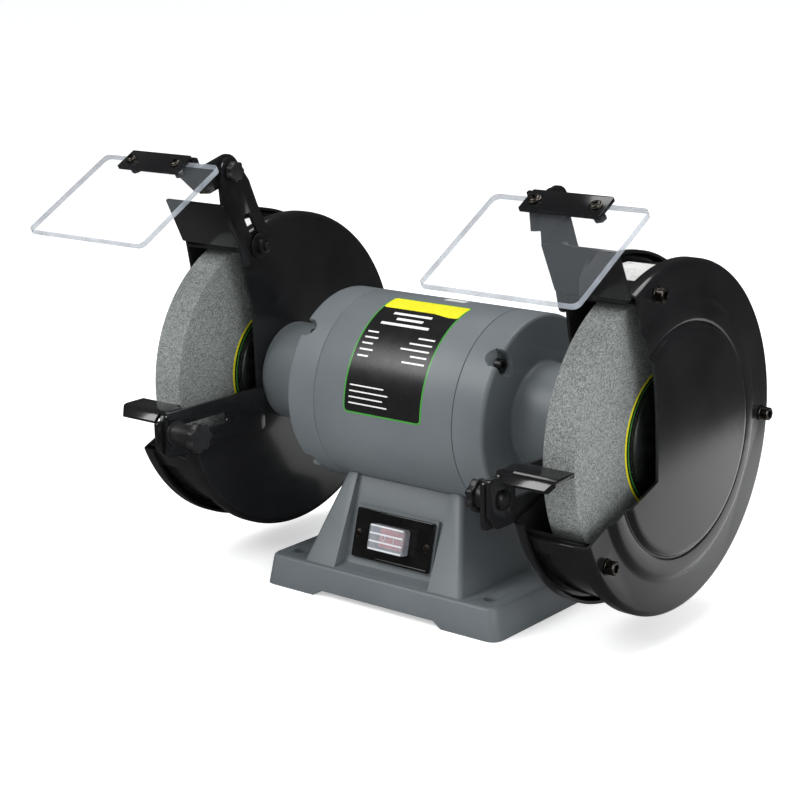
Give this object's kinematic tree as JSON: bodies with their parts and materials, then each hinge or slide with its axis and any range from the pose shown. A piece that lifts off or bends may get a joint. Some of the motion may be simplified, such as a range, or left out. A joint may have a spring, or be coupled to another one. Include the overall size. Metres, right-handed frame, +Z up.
{
  "type": "bench grinder",
  "caption": "Bench grinder: grey motor on a cast pedestal drives a guarded wheel at each end, with tool rests, spark arrestors and clear eye shields.",
  "frame": {"origin": "on the bench, at the middle of the four bolt holes, under the spindle", "axes": "+X along the spindle to the right wheel, -Y to the user, +Z up"},
  "size_m": [0.44, 0.2808, 0.297],
  "materials": {
    "casting_paint": "satin mid grey enamel",
    "guard_paint": "gloss black enamel",
    "steel_plate": "zinc-plated sheet",
    "bearing_steel": "ground",
    "lamination": "stacked laminations, ground",
    "copper_winding": "lacquered copper wire",
    "spindle_steel": "turned and ground",
    "switch_black": "moulded, fine grain",
    "clear_plastic": "clear soft cover",
    "red_plastic": "gloss",
    "black_screw": "black oxide",
    "knob_plastic": "moulded satin black",
    "abrasive": "open grey grit",
    "flange_steel": "dark pressed steel",
    "lens_plastic": "clear polished sheet"
  },
  "bodies": {
    "frame": {"base_casting": "casting_paint", "motor_housing": "casting_paint", "base_cover": "steel_plate", "bearing_left": "bearing_steel", "bearing_right": "bearing_steel", "stator_core": "lamination", "winding_left": "copper_winding", "winding_right": "copper_winding", "switch_plate": "switch_black", "switch_body": "switch_black", "cord_gland": "switch_black", "capacitor": "switch_black", "switch_dust_cover": "clear_plastic", "tie_bolt_1": "black_screw", "tie_bolt_2": "black_screw", "tie_bolt_3": "black_screw", "tie_bolt_4": "black_screw", "end_bell_left": "casting_paint", "guard_plate_left": "guard_paint", "guard_band_left": "guard_paint", "guard_cover_left": "guard_paint", "rest_arm_left": "guard_paint", "cover_screw_left_1": "black_screw", "cover_screw_left_2": "black_screw", "cover_screw_left_3": "black_screw", "arrestor_screw_left": "black_screw", "end_bell_right": "casting_paint", "guard_plate_right": "guard_paint", "guard_band_right": "guard_paint", "guard_cover_right": "guard_paint", "rest_arm_right": "guard_paint", "cover_screw_right_1": "black_screw", "cover_screw_right_2": "black_screw", "cover_screw_right_3": "black_screw", "arrestor_screw_right": "black_screw"},
    "spindle": {"spindle": "spindle_steel", "rotor_core": "lamination", "inner_flange_left": "flange_steel", "grinding_wheel_left": "abrasive", "outer_flange_left": "flange_steel", "spindle_nut_left": "flange_steel", "inner_flange_right": "flange_steel", "grinding_wheel_right": "abrasive", "outer_flange_right": "flange_steel", "spindle_nut_right": "flange_steel"},
    "switch_rocker": {"switch_rocker": "red_plastic"},
    "tool_rest_left": {"tool_rest_left": "guard_paint", "rest_bolt_left": "black_screw"},
    "rest_knob_left": {"rest_knob_left": "knob_plastic"},
    "spark_arrestor_left": {"spark_arrestor_left": "guard_paint"},
    "eye_shield_left": {"shield_arm_left": "guard_paint", "shield_lens_left": "lens_plastic"},
    "shield_knob_left": {"shield_knob_left": "knob_plastic"},
    "tool_rest_right": {"tool_rest_right": "guard_paint", "rest_bolt_right": "black_screw"},
    "rest_knob_right": {"rest_knob_right": "knob_plastic"},
    "spark_arrestor_right": {"spark_arrestor_right": "guard_paint"},
    "eye_shield_right": {"shield_arm_right": "guard_paint", "shield_lens_right": "lens_plastic"},
    "shield_knob_right": {"shield_knob_right": "knob_plastic"}
  },
  "joints": [
    {"name": "spindle_spin", "type": "hinge", "parent": "frame", "child": "spindle", "pos_m": [0, 0, 0.1327], "axis": [1, 0, 0], "continuous": true},
    {"name": "rocker_tilt", "type": "hinge", "parent": "frame", "child": "switch_rocker", "pos_m": [0, -0.05535, 0.0449], "axis": [0, 0.264, 0.9645], "range_deg": [0, 18]},
    {"name": "rest_slide_left", "type": "slide", "parent": "frame", "child": "tool_rest_left", "axis": [0, 1, 0], "range_m": [-0.0003, 0.007]},
    {"name": "rest_knob_turn_left", "type": "hinge", "parent": "tool_rest_left", "child": "rest_knob_left", "pos_m": [-0.119, -0.126, 0.1145], "axis": [-1, 0, 0], "range_deg": [0, 360]},
    {"name": "arrestor_slide_left", "type": "slide", "parent": "frame", "child": "spark_arrestor_left", "axis": [0, 0.4356, -0.9001], "range_m": [0, 0.007]},
    {"name": "shield_tilt_left", "type": "hinge", "parent": "spark_arrestor_left", "child": "eye_shield_left", "pos_m": [-0.1355, -0.062, 0.284], "axis": [1, 0, 0], "range_deg": [-60, 15]},
    {"name": "shield_knob_turn_left", "type": "hinge", "parent": "spark_arrestor_left", "child": "shield_knob_left", "pos_m": [-0.125, -0.062, 0.284], "axis": [-1, 0, 0], "range_deg": [0, 360]},
    {"name": "rest_slide_right", "type": "slide", "parent": "frame", "child": "tool_rest_right", "axis": [0, 1, 0], "range_m": [-0.006, 0.0015]},
    {"name": "rest_knob_turn_right", "type": "hinge", "parent": "tool_rest_right", "child": "rest_knob_right", "pos_m": [0.119, -0.12, 0.1145], "axis": [1, 0, 0], "range_deg": [0, 360]},
    {"name": "arrestor_slide_right", "type": "slide", "parent": "frame", "child": "spark_arrestor_right", "axis": [0, 0.4356, -0.9001], "range_m": [0, 0.007]},
    {"name": "shield_tilt_right", "type": "hinge", "parent": "spark_arrestor_right", "child": "eye_shield_right", "pos_m": [0.1355, -0.062, 0.284], "axis": [1, 0, 0], "range_deg": [-60, 15]},
    {"name": "shield_knob_turn_right", "type": "hinge", "parent": "spark_arrestor_right", "child": "shield_knob_right", "pos_m": [0.125, -0.062, 0.284], "axis": [1, 0, 0], "range_deg": [0, 360]}
  ]
}
